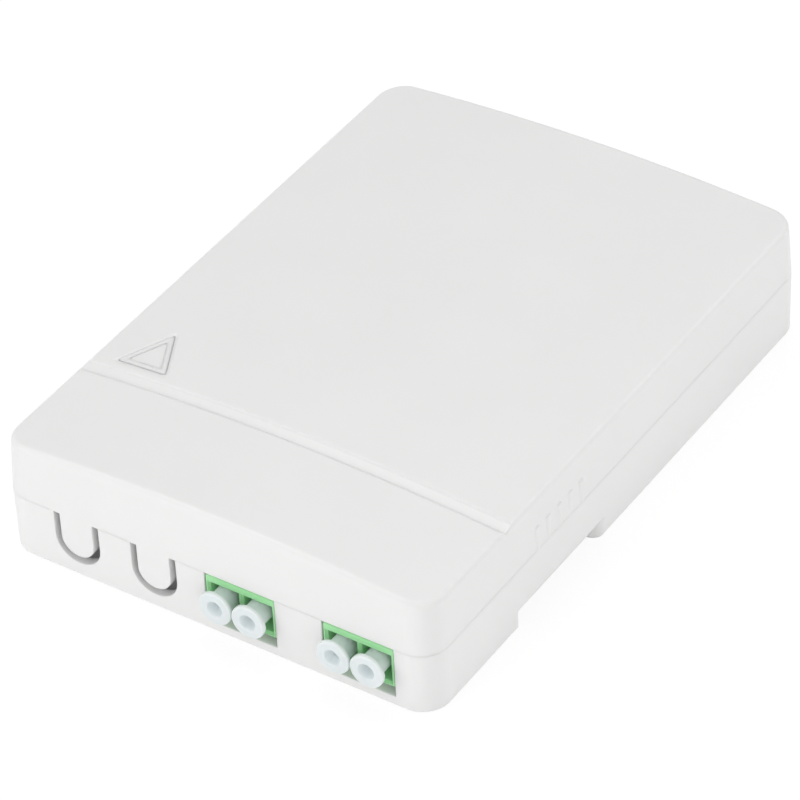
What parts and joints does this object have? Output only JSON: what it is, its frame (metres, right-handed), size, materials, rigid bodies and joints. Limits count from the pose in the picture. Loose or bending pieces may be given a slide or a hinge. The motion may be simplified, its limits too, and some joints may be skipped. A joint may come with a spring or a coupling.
{
  "type": "fibre optic termination box",
  "caption": "Flat wall box with a crowned clip-on cover, green duplex adapters with pull-out dust plugs, U-shaped cable entries and a splice tray inside.",
  "frame": {"origin": "middle of the underside, the face that rests on the wall", "axes": "+Z out of the wall through the cover, -Y out of the adapter ports, +X to the right seen from the port side"},
  "size_m": [0.0822, 0.1187, 0.0236],
  "materials": {
    "shell": "fine satin ABS, off-white",
    "tray": "satin ABS, pale grey",
    "adapter": "bright green moulded plastic",
    "plug": "milky translucent polyethylene",
    "ceramic": "ground zirconia",
    "screw": "zinc plated"
  },
  "bodies": {
    "housing": {"base": "shell", "splice_tray": "tray", "splice_holder": "tray", "cable_clamp": "shell", "clamp_screws": "screw", "adapter_1_front_half": "adapter", "adapter_1_rear_half": "adapter", "adapter_2_front_half": "adapter", "adapter_2_rear_half": "adapter", "alignment_sleeve_1": "ceramic", "inner_plug_1": "plug", "alignment_sleeve_2": "ceramic", "inner_plug_2": "plug", "alignment_sleeve_3": "ceramic", "inner_plug_3": "plug", "alignment_sleeve_4": "ceramic", "inner_plug_4": "plug"},
    "cover": {"cover": "shell"},
    "plug_1": {"dust_plug_1": "plug"},
    "plug_2": {"dust_plug_2": "plug"},
    "plug_3": {"dust_plug_3": "plug"},
    "plug_4": {"dust_plug_4": "plug"}
  },
  "joints": [
    {"name": "cover_lift", "type": "slide", "parent": "housing", "child": "cover", "axis": [0, 0, 1], "range_m": [0, 0.04]},
    {"name": "plug_1_pull", "type": "slide", "parent": "housing", "child": "plug_1", "axis": [0, -1, 0], "range_m": [0, 0.014]},
    {"name": "plug_2_pull", "type": "slide", "parent": "housing", "child": "plug_2", "axis": [0, -1, 0], "range_m": [0, 0.014]},
    {"name": "plug_3_pull", "type": "slide", "parent": "housing", "child": "plug_3", "axis": [0, -1, 0], "range_m": [0, 0.014]},
    {"name": "plug_4_pull", "type": "slide", "parent": "housing", "child": "plug_4", "axis": [0, -1, 0], "range_m": [0, 0.014]}
  ]
}
